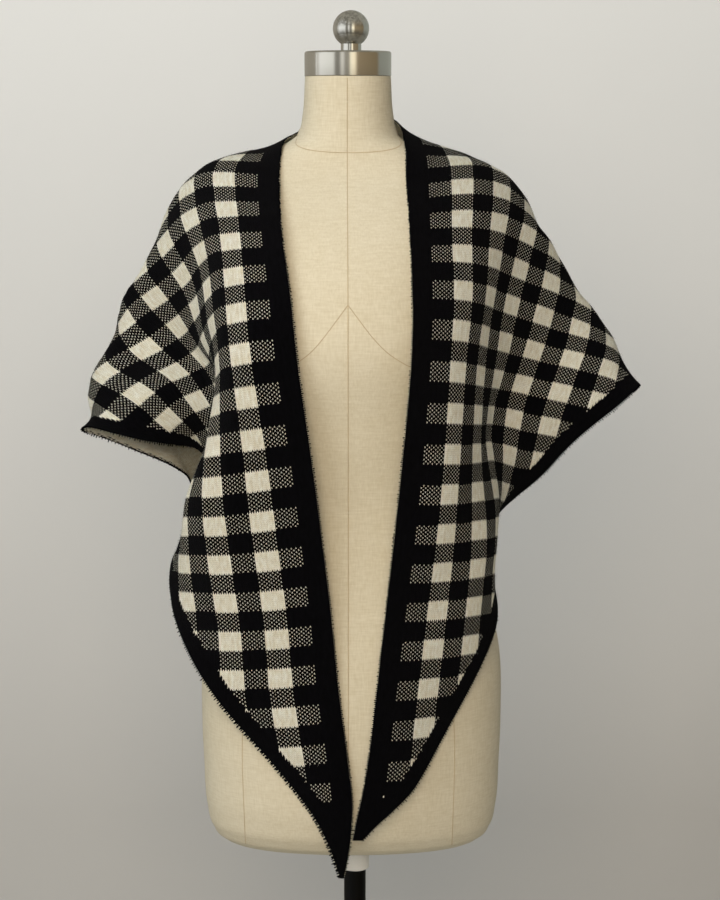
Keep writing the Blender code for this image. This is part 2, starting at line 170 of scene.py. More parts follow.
def cream_stitches(node, wale_number, course_number, reverse):
    """Two switches, 0 or 1: whether a stitch is cream, and whether it is in a birdseye block."""
    odd_row, even_column = (
        node("ABSOLUTE", node("MODULO", node("FLOOR", node("DIVIDE", number, BLOCK)), 2.0))
        for number in (course_number, wale_number))
    # How many of the two stripes are cream here: 2 is a cream block, 1 is birdseye, 0 is black.
    stripes = node("ADD", node("SUBTRACT", 1.0, odd_row), even_column)
    turn = node("ABSOLUTE", node("MODULO", node("ADD", wale_number, course_number), 2.0))
    birdseye = node("COMPARE", stripes, 1.0, 0.1)
    cream = node("MAXIMUM", node("MULTIPLY", birdseye, turn), node("GREATER_THAN", stripes, 1.5))
    # The bands are decided at the middle of each stitch, so that their inner edge is stepped.
    depth = node("MULTIPLY_ADD", node("ADD", wale_number, 0.5), WALE, EDGE_BAND)
    along = node("MULTIPLY_ADD", node("ADD", course_number, 0.5), COURSE, CHECK_START)
    to_tip = node("SUBTRACT", HALF_EDGE, node("ABSOLUTE", along))
    to_blunt_end = node("MULTIPLY_ADD", node("SUBTRACT", BLUNT_END, along), BLUNT_SLOPE, BLUNT_WIDTH)
    hem = node("MINIMUM", node("MULTIPLY", to_tip, SLOPE), to_blunt_end)
    to_hem = node("SUBTRACT", hem, depth)
    if reverse:
        to_edge = node("MINIMUM", depth, to_hem)
        dots = node("MULTIPLY", node("LESS_THAN", turn, 0.5), node("GREATER_THAN", to_edge, REVERSE_DOTS))
        return node("MAXIMUM", dots, node("GREATER_THAN", to_edge, REVERSE_CREAM)), birdseye
    past_edge_band = node("GREATER_THAN", wale_number, -0.5)
    in_check = node("MULTIPLY", node("GREATER_THAN", to_hem, HEM_BAND), past_edge_band)
    return node("MULTIPLY", cream, in_check), birdseye


# %% [markdown]
# Wool is matt and hairy, and hardly mirrors anything, so its roughness is high and its specular low.
# Every leg of a V is a round yarn, which dips where two stitches meet, and painted shade darkens the dips.
# is never even either: a column of stitches runs thin or thick for a few courses.

# %% Wool
CREAM = ("dbcfab", "fcfcee")
BLACK = ("030304", "0a0a0d")
FIBRES = 0.9 / MM            # clumps of fibres, about a millimetre across
UNEVEN_PATCHES = 0.06 / MM
UNEVEN_YARN = 0.33 / MM      # as wide as a column of stitches
YARN_STRETCH = 0.3           # and three times as long
LONE_STITCH = 0.73           # how much of a single cream stitch the black ones beside it cover
RAGGED = 0.5                 # how uneven the edge of that cover is
GRAIN, PATCH, STREAK = 0.5, 0.3, 1.6     # how much each noise changes how pale the yarn is
FUZZ = 0.35                  # how much the fibres add to a stitch's relief
# Painted shade darkens the dips between stitches, down to this share of the yarn's colour.
DIP_LIGHT = 0.1              # how light the deepest dip stays
WOOL_SURFACE = {"Roughness": 0.95, "Specular IOR Level": 0.03}


def hump(node, share):
    """0 at both ends of a stretch and 1 in its middle."""
    return node("MULTIPLY", node("MULTIPLY", share, 4.0), node("SUBTRACT", 1.0, share))


def knit_material(name, reverse):
    made, node, shader = new_material(name)
    (along, depth), numbers, (across, through) = stitch_at(node)
    cream, birdseye = cream_stitches(node, *numbers, reverse)
    through_round = hump(node, through)
    leg_round = hump(node, node("FRACT", node("MULTIPLY", across, 2.0)))
    height = node("SQRT", node("MAXIMUM", node("MULTIPLY", leg_round, through_round), 0.0))
    place = node("TexCoord", output="Object")
    wool = node("TexNoise", {"Vector": place, "Scale": FIBRES, "Detail": 3.0})
    if not reverse:
        # A single cream stitch shows only its middle, because the black ones beside it swell over it.
        lone = node("MULTIPLY", hump(node, across), through_round)
        covered = node("MULTIPLY_ADD", wool, RAGGED, LONE_STITCH - RAGGED / 2)
        sunk = node("MULTIPLY", node("LESS_THAN", lone, covered), birdseye)
        cream = node("MULTIPLY", cream, node("SUBTRACT", 1.0, sunk))
    soft = node("TexNoise", {"Vector": place, "Scale": UNEVEN_PATCHES, "Detail": 2.0})
    stretched = node("CombineXYZ", node("MULTIPLY", along, YARN_STRETCH), depth)
    streaks = node("TexNoise", {"Vector": stretched, "Scale": UNEVEN_YARN, "Detail": 2.0})
    paleness = node("MULTIPLY_ADD", wool, GRAIN, node("MULTIPLY", soft, PATCH))
    paleness = node("MULTIPLY_ADD", streaks, STREAK, node("SUBTRACT", paleness, 0.5))
    dark_yarn, light_yarn = (
        node("Mix", {0: paleness, 6: linear(first), 7: linear(second)}, **MIX_COLOURS)
        for first, second in (BLACK, CREAM))
    yarn = node("Mix", {0: cream, 6: dark_yarn, 7: light_yarn}, **MIX_COLOURS)
    height = node("MULTIPLY_ADD", wool, FUZZ, height)
    # Painted shade: where the relief is low, in the dips between stitches, the yarn's colour is mixed
    # towards black.
    shade = node("MINIMUM", node("ADD", height, DIP_LIGHT), 1.0)
    fill(shader, {
        "Base Color": node("Mix", {0: shade, 6: (0.0, 0.0, 0.0, 1.0), 7: yarn}, **MIX_COLOURS),
        "Normal": node("Bump", {"Height": height, "Strength": 0.9, "Distance": 0.7 * MM}),
        "Sheen Weight": 0.012, "Sheen Roughness": 0.5, **WOOL_SURFACE})
    return made


def yarn_material(name, colours):
    """Loose yarn in one colour, for the stitches that stand at an edge."""
    made, node, shader = new_material(name)
    place = node("TexCoord", output="Object")
    wool = node("TexNoise", {"Vector": place, "Scale": FIBRES, "Detail": 3.0})
    tones = {0: wool, 6: linear(colours[0]), 7: linear(colours[1])}
    fill(shader, {"Base Color": node("Mix", tones, **MIX_COLOURS), **WOOL_SURFACE})
    return made


black_yarn = yarn_material("wool yarn, black", BLACK)
cream_yarn = yarn_material("wool yarn, cream", CREAM)
knit_front = knit_material("wool knit, checked face", False)
knit_back = knit_material("wool knit, cream reverse", True)
print("knit:", round(EDGE_BAND / WALE, 1), "columns of stitches in the edge band")

# %% [markdown]
# ## Linen
# The form's cover is natural linen in a fine plain weave, stretched smooth. Its threads are about
# 0.4 mm apart, too fine to show, so they are drawn at 1.7 mm. One noise is drawn out upright and one
# level, and the two together read as a weave that is never quite even.

# %% Linen
LINEN = ("c3b89b", "dcd5bf")
LINEN_THREADS = 0.6 / MM
LINEN_PATCHES = 0.009 / MM
THREAD_STRETCH = 0.12        # noise is squeezed to this along a thread, so it runs long
WEAVE_CONTRAST = 1.15        # the two noises together are 1 on average, and the weave 0.5


def linen_material():
    made, node, shader = new_material("linen cover")
    place = node("TexCoord", output="Object")
    threads = []
    for squeeze in ((1.0, 1.0, THREAD_STRETCH), (THREAD_STRETCH, THREAD_STRETCH, 1.0)):
        squeezed = node("Mapping", {"Vector": place, "Scale": squeeze})
        threads.append(node("TexNoise", {"Vector": squeezed, "Scale": LINEN_THREADS, "Detail": 2.0}))
    weave = node("MULTIPLY_ADD", node("ADD", *threads), WEAVE_CONTRAST, 0.5 - WEAVE_CONTRAST)
    broad = node("TexNoise", {"Vector": place, "Scale": LINEN_PATCHES, "Detail": 2.0})
    paleness = node("MULTIPLY_ADD", weave, 0.7, node("MULTIPLY", broad, 0.3))
    tones = {0: paleness, 6: linear(LINEN[0]), 7: linear(LINEN[1])}
    fill(shader, {
        "Base Color": node("Mix", tones, **MIX_COLOURS),
        "Normal": node("Bump", {"Height": weave, "Strength": 0.12, "Distance": 0.2 * MM}),
        "Roughness": 0.85, "Specular IOR Level": 0.25})
    return made


linen = linen_material()
print("linen:", round(1 / (LINEN_THREADS * MM), 1), "mm from thread to thread as drawn")

# %% [markdown]
# ## Steel, enamel and plastic
# The cap is steel that was brushed round its axis, so its fine lines are level and blur what it
# mirrors upwards. The ball is polished, the pole and plate are dull black enamel, and the collar is
# moulded white plastic. None of them is quite even in its gloss, so a faint noise moves the
# roughness. The brushed lines are real bumps, because they bend a mirror image and a colour wouldn't.

# %% Steel, enamel and plastic
GLOSS_SPECKS = 0.12 / MM
BRUSH_LINES = 2.5 / MM       # 0.4 mm apart, coarser than real ones, so that they show
BRUSH_STRETCH = 0.02         # they run fifty times as long as they are high


def plain_material(name, colour, roughness, metallic=0.0, speck=0.0, specular=0.5):
    """A moulded, painted or polished surface, with a faint unevenness in its gloss."""
    made, node, shader = new_material(name)
    place = node("TexCoord", output="Object")
    specks = node("TexNoise", {"Vector": place, "Scale": GLOSS_SPECKS, "Detail": 2.0})
    fill(shader, {
        "Base Color": linear(colour), "Metallic": metallic, "Specular IOR Level": specular,
        "Roughness": node("MULTIPLY_ADD", specks, speck, roughness - speck / 2)})
    return made


def brushed_material():
    made, node, shader = new_material("brushed steel")
    place = node("TexCoord", output="Object")
    squeezed = node("Mapping", {"Vector": place, "Scale": (BRUSH_STRETCH, BRUSH_STRETCH, 1.0)})
    lines = node("TexNoise", {"Vector": squeezed, "Scale": BRUSH_LINES, "Detail": 2.0})
    fill(shader, {
        "Base Color": linear("cfcdc8"), "Metallic": 1.0,
        "Roughness": node("MULTIPLY_ADD", lines, 0.06, 0.13),
        "Normal": node("Bump", {"Height": lines, "Strength": 0.2, "Distance": 0.05 * MM})})
    return made


# The seam's linen is darker than the cover: painted shade for the thin shadow line along a seam.
seam_painted_shade = plain_material("linen seam, painted shade", "bcab8c", 0.9, speck=0.1)
brushed = brushed_material()
polished = plain_material("polished steel", "cfcfcc", 0.12, metallic=1.0, speck=0.04)
enamel = plain_material("black enamel", "030304", 0.5, speck=0.05, specular=0.15)
plastic = plain_material("white plastic", "e6e5df", 0.4, speck=0.05)
print("materials:", ", ".join(sorted(made.name for made in bpy.data.materials)))

# %% [markdown]
# ## The dress form
# The form is a padded torso with no limbs under a linen cover. It could be sculpted, but every level
# section is close to an ellipse, so a short table of levels gives the whole of it. The cloth then asks
# the same table how near it is to the form, which is much quicker than asking a mesh.

# %% Levels of the form
FORM_POWER = 2.2             # 2 would be an ellipse, and more is squarer
MOST_PUSH = 12 * MM          # how far one step may push the cloth out
FORM_LEVELS = (
    # height, half width, middle in x, front, back, in millimetres
    (604, 78, 0, -30, 40),
    (607, 128, 0, -56, 70),
    (614, 150, 0, -76, 90),
    (628, 162, 0, -93, 106),
    (652, 168, 0, -104, 116),
    (700, 171, 0, -112, 121),
    (760, 173, 0, -116, 126),
    (840, 170, 0, -113, 126),
    (930, 146, 0, -101, 112),
    (1020, 123, 0, -92, 96),
    (1100, 131, 0, -108, 95),
    (1200, 148, 0, -134, 101),
    (1270, 158, 0, -122, 109),
    (1320, 174, 0, -98, 104),
    (1355, 177, 0, -74, 92),
    (1380, 156, 0, -56, 78),
    (1400, 102, -1, -49, 72),
    (1412, 76, -2.5, -48, 68),
    (1420, 60, -3.5, -47, 65),
    (1430, 54, -3.5, -46, 62),
    (1445, 51, -3.5, -45, 59),
    (1488, 48, -3.5, -45, 52),
)
LEVELS = np.array(FORM_LEVELS) * MM
FORM_LOW, FORM_TOP = LEVELS[0, 0], LEVELS[-1, 0]


def spline(knots, values, at):
    """The smooth curve through values, which stand at knots, read at each place in at."""
    span = np.diff(knots)
    chord = np.diff(values, axis=0) / span[:, None]
    blend = (span[1:] / (span[1:] + span[:-1]))[:, None]
    tangent = np.vstack([chord[:1], blend * chord[:-1] + (1 - blend) * chord[1:], chord[-1:]])
    k = np.clip(np.searchsorted(knots, at, side="right") - 1, 0, len(span) - 1)
    width = span[k][:, None]
    f = ((at - knots[k])[:, None]) / width
    start = (1 + 2 * f) * (1 - f) ** 2 * values[k] + f * (1 - f) ** 2 * width * tangent[k]
    end = f * f * (3 - 2 * f) * values[k + 1] - f * f * (1 - f) * width * tangent[k + 1]
    return start + end


def form_shape(heights):
    """Half width, middle in x, front and back of the form at each height, on smooth curves."""
    return spline(LEVELS[:, 0], LEVELS[:, 1:], heights).T


def rounded(turn):
    """A cosine or sine for the form's section, which is a little squarer than an ellipse."""
    return np.sign(turn) * np.abs(turn) ** (2 / FORM_POWER)


def form_section(height):
    """Half width, middle in x, middle in y and half depth of the form at each height, quickly."""
    half_width, aside, front, back = (np.interp(height, LEVELS[:, 0], LEVELS[:, k]) for k in (1, 2, 3, 4))
    return half_width, aside, (back + front) / 2, (back - front) / 2


def form_level(points):
    """1 on the form's surface, less inside it and more outside."""
    half_width, aside, middle, half_depth = form_section(points[:, 2])
    across = np.abs((points[:, 0] - aside) / half_width) ** FORM_POWER
    through = np.abs((points[:, 1] - middle) / half_depth) ** FORM_POWER
    return (across + through) ** (1 / FORM_POWER)


def clear_of_form(points, clearance):
    """Moves every point that is nearer to the form than the clearance straight out to it."""
    moved = points.copy()
    step = 0.1 * MM
    near = (points[:, 2] > FORM_LOW + MM) & (points[:, 2] < FORM_TOP + 2 * MM)
    for _ in range(2):
        here = moved[near]
        level = form_level(here)
        slope = np.stack([(form_level(here + step * axis) - level) / step for axis in np.eye(3)], axis=1)
        steepness = np.linalg.norm(slope, axis=1)
        short = np.clip(clearance - (level - 1) / steepness, 0, MOST_PUSH)
        moved[near] = here + slope * (short / steepness)[:, None]
    return moved


print("form:", round((FORM_TOP - FORM_LOW) * 1000), "mm high,", len(FORM_LEVELS), "levels")

# %% [markdown]
# Two helpers make objects: one from points and faces, and one by turning a profile round an axis, as
# on a lathe. The second gives the cap, the ball and the stand.

# %% Mesh helpers
SHARP_ANGLE = math.radians(40)     # an edge that bends more than this stays sharp


def mesh_object(name, points, faces, materials, smooth=True):
    mesh = bpy.data.meshes.new(name)
    mesh.from_pydata([tuple(p) for p in np.asarray(points, float)], [], [tuple(f) for f in faces])
    for finish in materials:
        mesh.materials.append(finish)
    if smooth:
        mesh.shade_smooth()
        mesh.set_sharp_from_angle(angle=SHARP_ANGLE)
    made = bpy.data.objects.new(name, mesh)
    bpy.context.scene.collection.objects.link(made)
    return made


def turned(name, profile, finish, x=0.0, y=0.0, sides=96):
    """A profile of (radius, height) from the axis at the top to the axis at the bottom, turned round."""
    points = []
    faces = []
    rings = []
    for radius, height in profile:
        if radius < 1e-6:
            rings.append([len(points)] * sides)
            points.append((x, y, height))
            continue
        rings.append(list(range(len(points), len(points) + sides)))
        for i in range(sides):
            angle = 2 * math.pi * i / sides
            points.append((x + radius * math.cos(angle), y + radius * math.sin(angle), height))
    for upper, lower in zip(rings, rings[1:]):
        for i in range(sides):
            j = (i + 1) % sides
            corners = list(dict.fromkeys((upper[i], lower[i], lower[j], upper[j])))
            faces.append(corners)
    return mesh_object(name, points, faces, [finish])


def arc(centre, radius, start, end, steps):
    """Points on an arc in (radius, height), with its angles in degrees from the outward direction."""
    angles = np.radians(np.linspace(start, end, steps + 1))
    return [(centre[0] + radius * math.cos(a), centre[1] + radius * math.sin(a)) for a in angles]


# %% [markdown]
# The torso is a ring of points at each level, with faces between the rings and one face to close it at
# either end. The rings follow smooth curves through the table, so no level shows as an edge.

# %% The torso
SIDES = 160
HIP = 0.70                   # below this the form closes in, and its rings stand closer
rings = np.unique(np.concatenate([np.linspace(FORM_LOW, HIP, 40), np.linspace(HIP, FORM_TOP, 170)]))
angles = np.arange(SIDES) * 2 * math.pi / SIDES
half_width, aside, front, back = form_shape(rings)[:, :, None]
torso_x = aside + half_width * rounded(np.cos(angles))
torso_y = (front + back) / 2 + (back - front) / 2 * rounded(np.sin(angles))
torso_z = np.broadcast_to(rings[:, None], torso_x.shape)
torso_points = np.stack([torso_x, torso_y, torso_z], axis=2).reshape(-1, 3)
torso_faces = []
for r in range(len(rings) - 1):
    lower, upper = r * SIDES, (r + 1) * SIDES
    for i in range(SIDES):
        j = (i + 1) % SIDES
        torso_faces.append((lower + i, lower + j, upper + j, upper + i))
torso_faces.append(tuple(reversed(range(SIDES))))
torso_faces.append(tuple(range(len(torso_points) - SIDES, len(torso_points))))
torso = mesh_object("torso_cover", torso_points, torso_faces, [linen])
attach(torso, "root")
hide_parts("form_torso")
print("torso:", len(torso_faces), "faces")

# %% [markdown]
# The cover is sewn from panels, and each seam is a thin raised line: one down the middle, curved ones
# over the bust and at the back, one at each side and the neckline. A painted line would be quicker,
# but a raised one catches the light as a seam does. Its linen is darker than the cover, which is
# painted shade for the thin shadow line along a seam. Each run is a few places on the front or back,
# smoothed and laid on the form.

# %% The cover's seams
SEAM_RADIUS = 0.5 * MM
SEAM_STEP = 4 * MM
SIDE_STEPS = 6
# Each run is a list of (x, height) in millimetres.
FRONT_SEAMS = (
    ((-4, 1486), (-4, 1407), (-3, 1243), (-3, 1100), (-3, 900), (-3, 606)),
    ((-3, 1243), (-14, 1228), (-26, 1212), (-45, 1190), (-65, 1176), (-84, 1168)),
    ((-3, 1243), (9, 1227), (22, 1210), (39, 1192), (59, 1178), (80, 1168)),
    ((80, 1330), (84, 1240), (80, 1168), (68, 1030), (84, 940), (113, 797), (115, 620)),
    ((-86, 1330), (-90, 1240), (-84, 1168), (-73, 1030), (-88, 940), (-119, 797), (-121, 620)),
)
BACK_SEAMS = (
    ((0, 1486), (0, 1380), (0, 1100), (0, 900), (0, 608)),
    ((85, 1340), (72, 1180), (62, 1030), (84, 900), (98, 760), (98, 612)),
    ((-85, 1340), (-72, 1180), (-62, 1030), (-84, 900), (-98, 760), (-98, 612)),
)
SIDE_SEAM = (0.612, 1.37)
NECKLINE = 1.4045            # its height at the front
NECKLINE_RISE = 0.024        # half of how much higher it runs at the back


def seam_run(places):
    """Reads a run of places smoothly, every few millimetres."""
    run = np.array(places) * MM
    length = np.concatenate([[0], np.cumsum(np.linalg.norm(np.diff(run, axis=0), axis=1))])
    return spline(length, run, np.linspace(0, length[-1], int(length[-1] / SEAM_STEP)))


def on_form(x, z, side):
    """The place on the form's front (side -1) or back (side 1) at x and height z."""
    half_width, aside, front, back = form_shape(z)
    reach = np.clip(1 - np.abs((x - aside) / half_width) ** FORM_POWER, 0, 1) ** (1 / FORM_POWER)
    return np.stack([x, (front + back) / 2 + side * (back - front) / 2 * reach, z], axis=1)


def tube(run, radius, points, faces):
    """Adds a thin round tube along a run of places."""
    way = np.gradient(run, axis=0)
    way /= np.linalg.norm(way, axis=1)[:, None]
    across = np.cross(way, (0.0, 0.0, 1.0)) + 1e-6
    across /= np.linalg.norm(across, axis=1)[:, None]
    turn = (np.arange(SIDE_STEPS) * 2 * math.pi / SIDE_STEPS)[:, None]
    ring = np.cos(turn) * across[:, None] + np.sin(turn) * np.cross(way, across)[:, None]
    start = sum(len(block) for block in points)
    points.append((run[:, None] + radius * ring).reshape(-1, 3))
    for k in range(len(run) - 1):
        a, b = start + k * SIDE_STEPS, start + (k + 1) * SIDE_STEPS
        for i in range(SIDE_STEPS):
            j = (i + 1) % SIDE_STEPS
            faces.append((a + i, a + j, b + j, b + i))


seam_points, seam_faces = [], []
for side, runs in ((-1, FRONT_SEAMS), (1, BACK_SEAMS)):
    for places in runs:
        x, z = seam_run(places).T
        tube(on_form(x, z, side), SEAM_RADIUS, seam_points, seam_faces)
side_heights = np.linspace(*SIDE_SEAM, 200)
half_width, aside, front, back = form_shape(side_heights)
for sign in (-1, 1):
    side_run = np.stack([aside + sign * half_width, (front + back) / 2, side_heights], axis=1)
    tube(side_run, SEAM_RADIUS, seam_points, seam_faces)
round_neck = np.linspace(0, 2 * math.pi, 181)
neck_heights = NECKLINE + NECKLINE_RISE * (1 - np.cos(round_neck))
half_width, aside, front, back = form_shape(neck_heights)
neck_x = aside + half_width * rounded(np.sin(round_neck))
neck_y = (front + back) / 2 - (back - front) / 2 * rounded(np.cos(round_neck))
tube(np.stack([neck_x, neck_y, neck_heights], axis=1), SEAM_RADIUS, seam_points, seam_faces)
seams = mesh_object("cover_seams", np.concatenate(seam_points), seam_faces, [seam_painted_shade])
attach(seams, "root")
print("seams:", len(seam_faces), "faces")

# %% [markdown]
# ## Cap, ball and stand
# A steel cap closes the neck and carries a ball on a short stem. Below, a white collar holds the form
# on its pole, and the pole stands in a socket on a round plate. All are turned pieces, so each is a
# profile from the axis out and back. Pieces that meet stay 0.3 mm apart, so they never cut each other.

# %% Cap, finial and stand
SEAT_GAP = 0.3 * MM
CAP_X, CAP_Y = -3.5 * MM, 3.5 * MM
CAP_RADIUS = 48.5 * MM
CAP_HEIGHT = 27.5 * MM
BALL_RADIUS = 20.3 * MM
STEM_RADIUS = 11.5 * MM
STEM_HEIGHT = 8 * MM
STAND_X = 4 * MM
COLLAR_RADIUS = 16.5 * MM
COLLAR_LENGTH = 31.5 * MM
POLE_RADIUS = 12.7 * MM
POLE_CHAMFER = 0.5 * MM
PLATE_RADIUS = 180 * MM
PLATE_THICK = 12 * MM
SOCKET_RADIUS = 24 * MM
SOCKET_BORE = 13 * MM
SOCKET_HEIGHT = 45 * MM


def top_edge(radius, top, rounding, steps):
    """The rounded edge between a top and an upright side."""
    return arc((radius - rounding, top - rounding), rounding, 90, 0, steps)


def foot_edge(radius, low, rounding, steps):
    """The rounded edge between an upright side and an underside."""
    return arc((radius - rounding, low + rounding), rounding, 0, -90, steps)


cap_low = FORM_TOP + SEAT_GAP
cap_high = cap_low + CAP_HEIGHT
cap = turned("neck_cap", [(0, cap_high), *top_edge(CAP_RADIUS, cap_high, 2.5 * MM, 8),
                          *foot_edge(CAP_RADIUS, cap_low, 0.6 * MM, 4), (0, cap_low)],
             brushed, CAP_X, CAP_Y)
ball_low = cap_high + SEAT_GAP
stem_angle = math.acos(STEM_RADIUS / BALL_RADIUS)
ball_middle = ball_low + STEM_HEIGHT + BALL_RADIUS * math.sin(stem_angle)
finial = turned("finial_ball", [*arc((0, ball_middle), BALL_RADIUS, 90, -math.degrees(stem_angle), 40),
                                (STEM_RADIUS, ball_low), (0, ball_low)], polished, y=CAP_Y)
collar_top = FORM_LOW - SEAT_GAP
collar_low = collar_top - COLLAR_LENGTH
collar = turned("pole_collar", [(0, collar_top), (COLLAR_RADIUS, collar_top),
                                *foot_edge(COLLAR_RADIUS, collar_low, 3.5 * MM, 8), (0, collar_low)],
                plastic, x=STAND_X)
pole_top = collar_low - SEAT_GAP
seat = PLATE_THICK + SEAT_GAP
pole = turned("pole", [(0, pole_top), (POLE_RADIUS - POLE_CHAMFER, pole_top),
                       (POLE_RADIUS, pole_top - POLE_CHAMFER), (POLE_RADIUS, seat), (0, seat)],
              enamel, x=STAND_X)
base = turned("base_plate", [(0, PLATE_THICK), *top_edge(PLATE_RADIUS, PLATE_THICK, 5 * MM, 8),
                             (PLATE_RADIUS, 0), (0, 0)], enamel, x=STAND_X, sides=160)
socket_top = seat + SOCKET_HEIGHT
socket = turned("pole_socket", [(SOCKET_BORE, socket_top), *top_edge(SOCKET_RADIUS, socket_top, 3 * MM, 6),
                                (SOCKET_RADIUS, seat), (SOCKET_BORE, seat), (SOCKET_BORE, socket_top)],
                enamel, x=STAND_X)
for piece, node, slot in ((cap, "form_neck_cap", "brushed_steel"), (finial, "form_finial", "polished_steel"),
                          (collar, "stand_collar", "white_plastic"), (pole, "stand_pole", "black_enamel"),
                          (base, "stand_base", "black_enamel"), (socket, "stand_socket", "black_enamel")):
    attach(piece, "root")
    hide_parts(node)
print("stand: pole", round((pole_top - seat) * 1000), "mm long")

# %% [markdown]
# ## The worn shawl
# The cloth lies over the shoulders, folds out into a wing over each arm opening and hangs down the
# front in two tapering ends. It hangs as one sheet, so it is described by sections from the long edge
# to the hem. Each row of the table is one section: how far along it is cut, and six places on it, all
# in millimetres. A smooth curve through them is nearly the drape, but no real knit would fit it.

# %% Sections of the worn cloth
SHARES = np.array((0.0, 0.2, 0.4, 0.6, 0.8, 1.0))
SECTIONS = (
    # along, then x, y and z on the long edge and at 0.2 and 0.4 of the way down,
    # and on the next line at 0.6, at 0.8 and on the hem
    (-1020, (-10, -115, 601), (-11, -114, 600), (-12, -113, 599),
            (-13, -112, 598), (-14, -112, 597), (-15, -111, 596)),
    (-964, (1, -117, 667), (-6, -117, 666), (-14, -117, 665),
           (-21, -115, 664), (-28, -114, 663), (-35, -112, 662)),
    (-900, (-4, -119, 731), (-19, -120, 729), (-34, -120, 727),
           (-49, -118, 725), (-64, -113, 722), (-79, -108, 720)),
    (-800, (-15, -121, 831), (-44, -120, 828), (-72, -117, 825),
           (-101, -113, 822), (-129, -107, 820), (-166, -100, 818)),
    (-730, (-22, -124, 900), (-57, -123, 896), (-93, -121, 892),
           (-130, -114, 889), (-164, -98, 887), (-195, -80, 884)),
    (-660, (-30, -126, 969), (-74, -126, 964), (-119, -126, 959),
           (-165, -112, 956), (-194, -78, 953), (-199, -34, 948)),
    (-560, (-42, -138, 1069), (-97, -137, 1063), (-152, -133, 1055),
           (-178, -90, 1045), (-164, -42, 1020), (-166, 10, 1004)),
    (-480, (-53, -141, 1152), (-118, -143, 1143), (-152, -105, 1126),
           (-135, -47, 1101), (-152, -4, 1084), (-178, 18, 1074)),
    (-420, (-61, -141, 1214), (-131, -132, 1206), (-147, -71, 1174),
           (-154, -5, 1149), (-201, -16, 1128), (-242, -18, 1081)),
    (-370, (-66, -131, 1262), (-139, -110, 1250), (-171, -44, 1213),
           (-194, 21, 1180), (-250, 2, 1144), (-305, -2, 1099)),
    (-357, (-68, -127, 1270), (-141, -104, 1258), (-173, -37, 1223),
           (-205, 26, 1186), (-292, 16, 1145), (-308, 8, 1094)),
    (-345, (-69, -124, 1278), (-143, -98, 1267), (-176, -30, 1233),
           (-216, 30, 1192), (-308, 27, 1145), (-304, 18, 1089)),
    (-320, (-73, -116, 1297), (-147, -84, 1289), (-178, -14, 1249),
           (-240, 38, 1206), (-305, 46, 1149), (-246, 34, 1059)),
    (-270, (-76, -102, 1332), (-158, -60, 1327), (-211, -1, 1281),
           (-268, 60, 1222), (-243, 74, 1124), (-178, 49, 1026)),
    (-240, (-77, -84, 1352), (-166, -38, 1348), (-223, 14, 1293),
           (-246, 66, 1216), (-224, 88, 1114), (-176, 76, 1009)),
    (-200, (-77, -60, 1373), (-177, -9, 1375), (-221, 46, 1303),
           (-200, 74, 1196), (-188, 96, 1096), (-170, 98, 992)),
    (-140, (-75, -22, 1406), (-154, 36, 1396), (-166, 80, 1288),
           (-148, 92, 1180), (-136, 102, 1070), (-126, 104, 958)),
    (-80, (-66, 30, 1421), (-94, 82, 1343), (-84, 103, 1219),
          (-74, 108, 1104), (-69, 112, 989), (-66, 116, 874)),
    (-20, (-26, 72, 1433), (-25, 103, 1322), (-21, 113, 1200),
          (-16, 114, 1079), (-11, 116, 956), (-7, 118, 834)),
    (40, (24, 70, 1440), (34, 103, 1331), (38, 113, 1213),
         (44, 118, 1094), (50, 119, 975), (55, 117, 855)),
    (100, (54, 32, 1435), (92, 78, 1357), (98, 101, 1246),
          (101, 112, 1134), (106, 117, 1022), (112, 113, 911)),
    (160, (58, -24, 1418), (146, 24, 1396), (172, 70, 1302),
          (162, 86, 1192), (163, 99, 1086), (168, 101, 980)),
    (195, (58, -46, 1387), (157, -3, 1391), (215, 48, 1326),
          (192, 78, 1216), (188, 94, 1114), (195, 97, 1012)),
    (230, (61, -66, 1366), (155, -28, 1374), (211, 20, 1316),
          (206, 62, 1224), (217, 87, 1128), (229, 98, 1036)),
    (280, (65, -96, 1335), (146, -58, 1335), (204, 0, 1314),
          (241, 57, 1248), (261, 83, 1163), (264, 104, 1082)),
    (330, (66, -117, 1299), (139, -80, 1297), (191, -20, 1277),
          (252, 28, 1248), (288, 54, 1189), (299, 87, 1123)),
    (380, (67, -132, 1264), (136, -98, 1254), (172, -33, 1236),
          (232, 9, 1211), (294, 19, 1186), (317, 42, 1144)),
    (440, (68, -147, 1203), (124, -114, 1195), (156, -57, 1180),
          (200, -7, 1167), (257, -13, 1154), (316, -6, 1142)),
    (520, (62, -153, 1122), (113, -131, 1117), (142, -86, 1110),
          (163, -34, 1104), (202, -17, 1095), (253, -9, 1086)),
    (580, (56, -152, 1063), (104, -136, 1059), (136, -98, 1056),
          (158, -54, 1053), (176, -30, 1047), (211, -2, 1037)),
    (620, (52, -150, 1024), (97, -140, 1020), (131, -108, 1018),
          (159, -73, 1016), (170, -31, 1011), (170, 12, 996)),
    (760, (37, -146, 888), (67, -137, 887), (96, -125, 886),
          (123, -110, 886), (145, -91, 885), (161, -71, 884)),
    (890, (21, -146, 758), (37, -142, 758), (53, -135, 757),
          (69, -127, 756), (85, -118, 756), (100, -108, 755)),
    (940, (12, -144, 703), (26, -142, 705), (37, -139, 704),
          (48, -136, 704), (59, -132, 703), (69, -128, 702)),
    (997, (2, -142, 656), (4, -142, 656), (6, -142, 655),
          (8, -141, 655), (10, -141, 654), (12, -140, 654)),
)

CORNER_REACH = 0.5           # how far along the hem's corner at the back is felt


def corner_rise(along, share):
    """How far a section climbs because the hem climbs away from the point at the back."""
    return SLOPE * share * np.abs(along) * np.clip(1 - np.abs(along) / CORNER_REACH, 0, 1) ** 2


